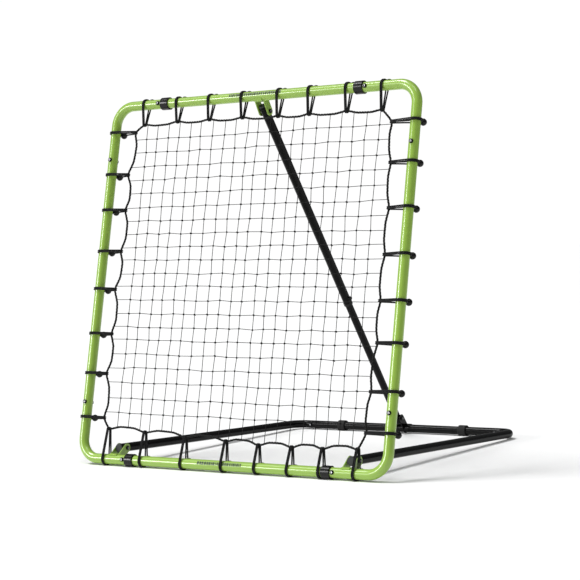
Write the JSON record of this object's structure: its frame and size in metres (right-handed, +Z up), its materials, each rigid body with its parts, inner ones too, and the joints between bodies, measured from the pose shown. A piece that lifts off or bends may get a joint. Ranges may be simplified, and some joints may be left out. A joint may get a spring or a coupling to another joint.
{
  "type": "pitch back rebounder",
  "caption": "Square tube frame with a sprung knotted net on elastic ball ties, leaning on a U-shaped tube base with a sliding strut that sets its tilt.",
  "frame": {"origin": "on the floor, under the middle of the object's box", "axes": "+X right for someone facing the net, +Y away from them towards the base's rear tube, +Z up"},
  "size_m": [1.21, 1.0712, 1.1827],
  "materials": {
    "green_powder_coat": "gloss powder coat",
    "black_powder_coat": "satin powder coat",
    "foot_rubber": "matte",
    "black_plastic": "fine grain",
    "grey_plastic": "fine grain",
    "bush_nylon": "smooth",
    "black_steel": "black zinc",
    "net_twine": "knotted twine",
    "border_cord": "braided",
    "elastic_cord": "braided elastic",
    "ball_plastic": "moulded"
  },
  "bodies": {
    "base": {"base_arm_left": "black_powder_coat", "base_arm_right": "black_powder_coat", "rear_tube": "black_powder_coat", "rear_foot_left": "foot_rubber", "rear_foot_right": "foot_rubber", "arm_cap_left": "grey_plastic", "arm_cap_right": "grey_plastic", "arm_pivot_bush_left": "bush_nylon", "arm_pivot_bush_right": "bush_nylon", "rear_joint_bolts": "black_steel", "rear_joint_nuts": "black_steel", "strut_bracket_foot": "black_powder_coat", "strut_foot_bolt": "black_steel", "strut_foot_nut": "black_steel"},
    "net_frame": {"corner_tube_top_left": "green_powder_coat", "corner_tube_top_right": "green_powder_coat", "corner_tube_bottom_left": "green_powder_coat", "corner_tube_bottom_right": "green_powder_coat", "top_tube": "green_powder_coat", "bottom_tube": "green_powder_coat", "left_tube": "green_powder_coat", "right_tube": "green_powder_coat", "seam_sleeve_top_left": "black_plastic", "seam_sleeve_top_right": "black_plastic", "seam_sleeve_bottom_left": "black_plastic", "seam_sleeve_bottom_right": "black_plastic", "frame_joint_bolts": "black_steel", "frame_joint_nuts": "black_steel", "arm_bracket_left": "green_powder_coat", "arm_bracket_right": "green_powder_coat", "arm_pivot_bolt_left": "black_steel", "arm_pivot_bolt_right": "black_steel", "arm_pivot_nut_left": "black_steel", "arm_pivot_nut_right": "black_steel", "strut_bracket_top": "green_powder_coat", "strut_top_bolt": "black_steel", "strut_top_nut": "black_steel", "net_panel": "net_twine", "border_rope": "border_cord", "elastic_ties_top": "elastic_cord", "elastic_ties_right": "elastic_cord", "elastic_ties_bottom": "elastic_cord", "elastic_ties_left": "elastic_cord", "tie_balls_top": "ball_plastic", "tie_balls_right": "ball_plastic", "tie_balls_bottom": "ball_plastic", "tie_balls_left": "ball_plastic"},
    "strut_upper": {"strut_upper_tube": "black_powder_coat", "strut_pivot_bush": "bush_nylon", "strut_top_cap": "grey_plastic", "strut_end_ring": "black_plastic", "strut_clamp_boss": "black_powder_coat", "strut_clamp_screw": "black_steel"},
    "strut_lower": {"strut_lower_tube": "black_powder_coat", "strut_foot_cap": "grey_plastic"}
  },
  "joints": [
    {"name": "frame_tilt", "type": "hinge", "parent": "base", "child": "net_frame", "pos_m": [0, -0.47021, 0.05274], "axis": [-1, 0, 0], "range_deg": [-7, 8]},
    {"name": "strut_swing", "type": "hinge", "parent": "net_frame", "child": "strut_upper", "pos_m": [0, -0.23516, 1.11299], "axis": [-1, 0, 0], "range_deg": [-3.66, 3.24]},
    {"name": "strut_slide", "type": "slide", "parent": "strut_upper", "child": "strut_lower", "axis": [0, 0.5644, -0.8255], "range_m": [-0.113, 0.0991]}
  ],
  "couplings": [
    {"joint": "strut_swing", "follows": "frame_tilt", "ratio": -0.41977},
    {"joint": "strut_slide", "follows": "frame_tilt", "m_per_rad": -0.79476}
  ]
}
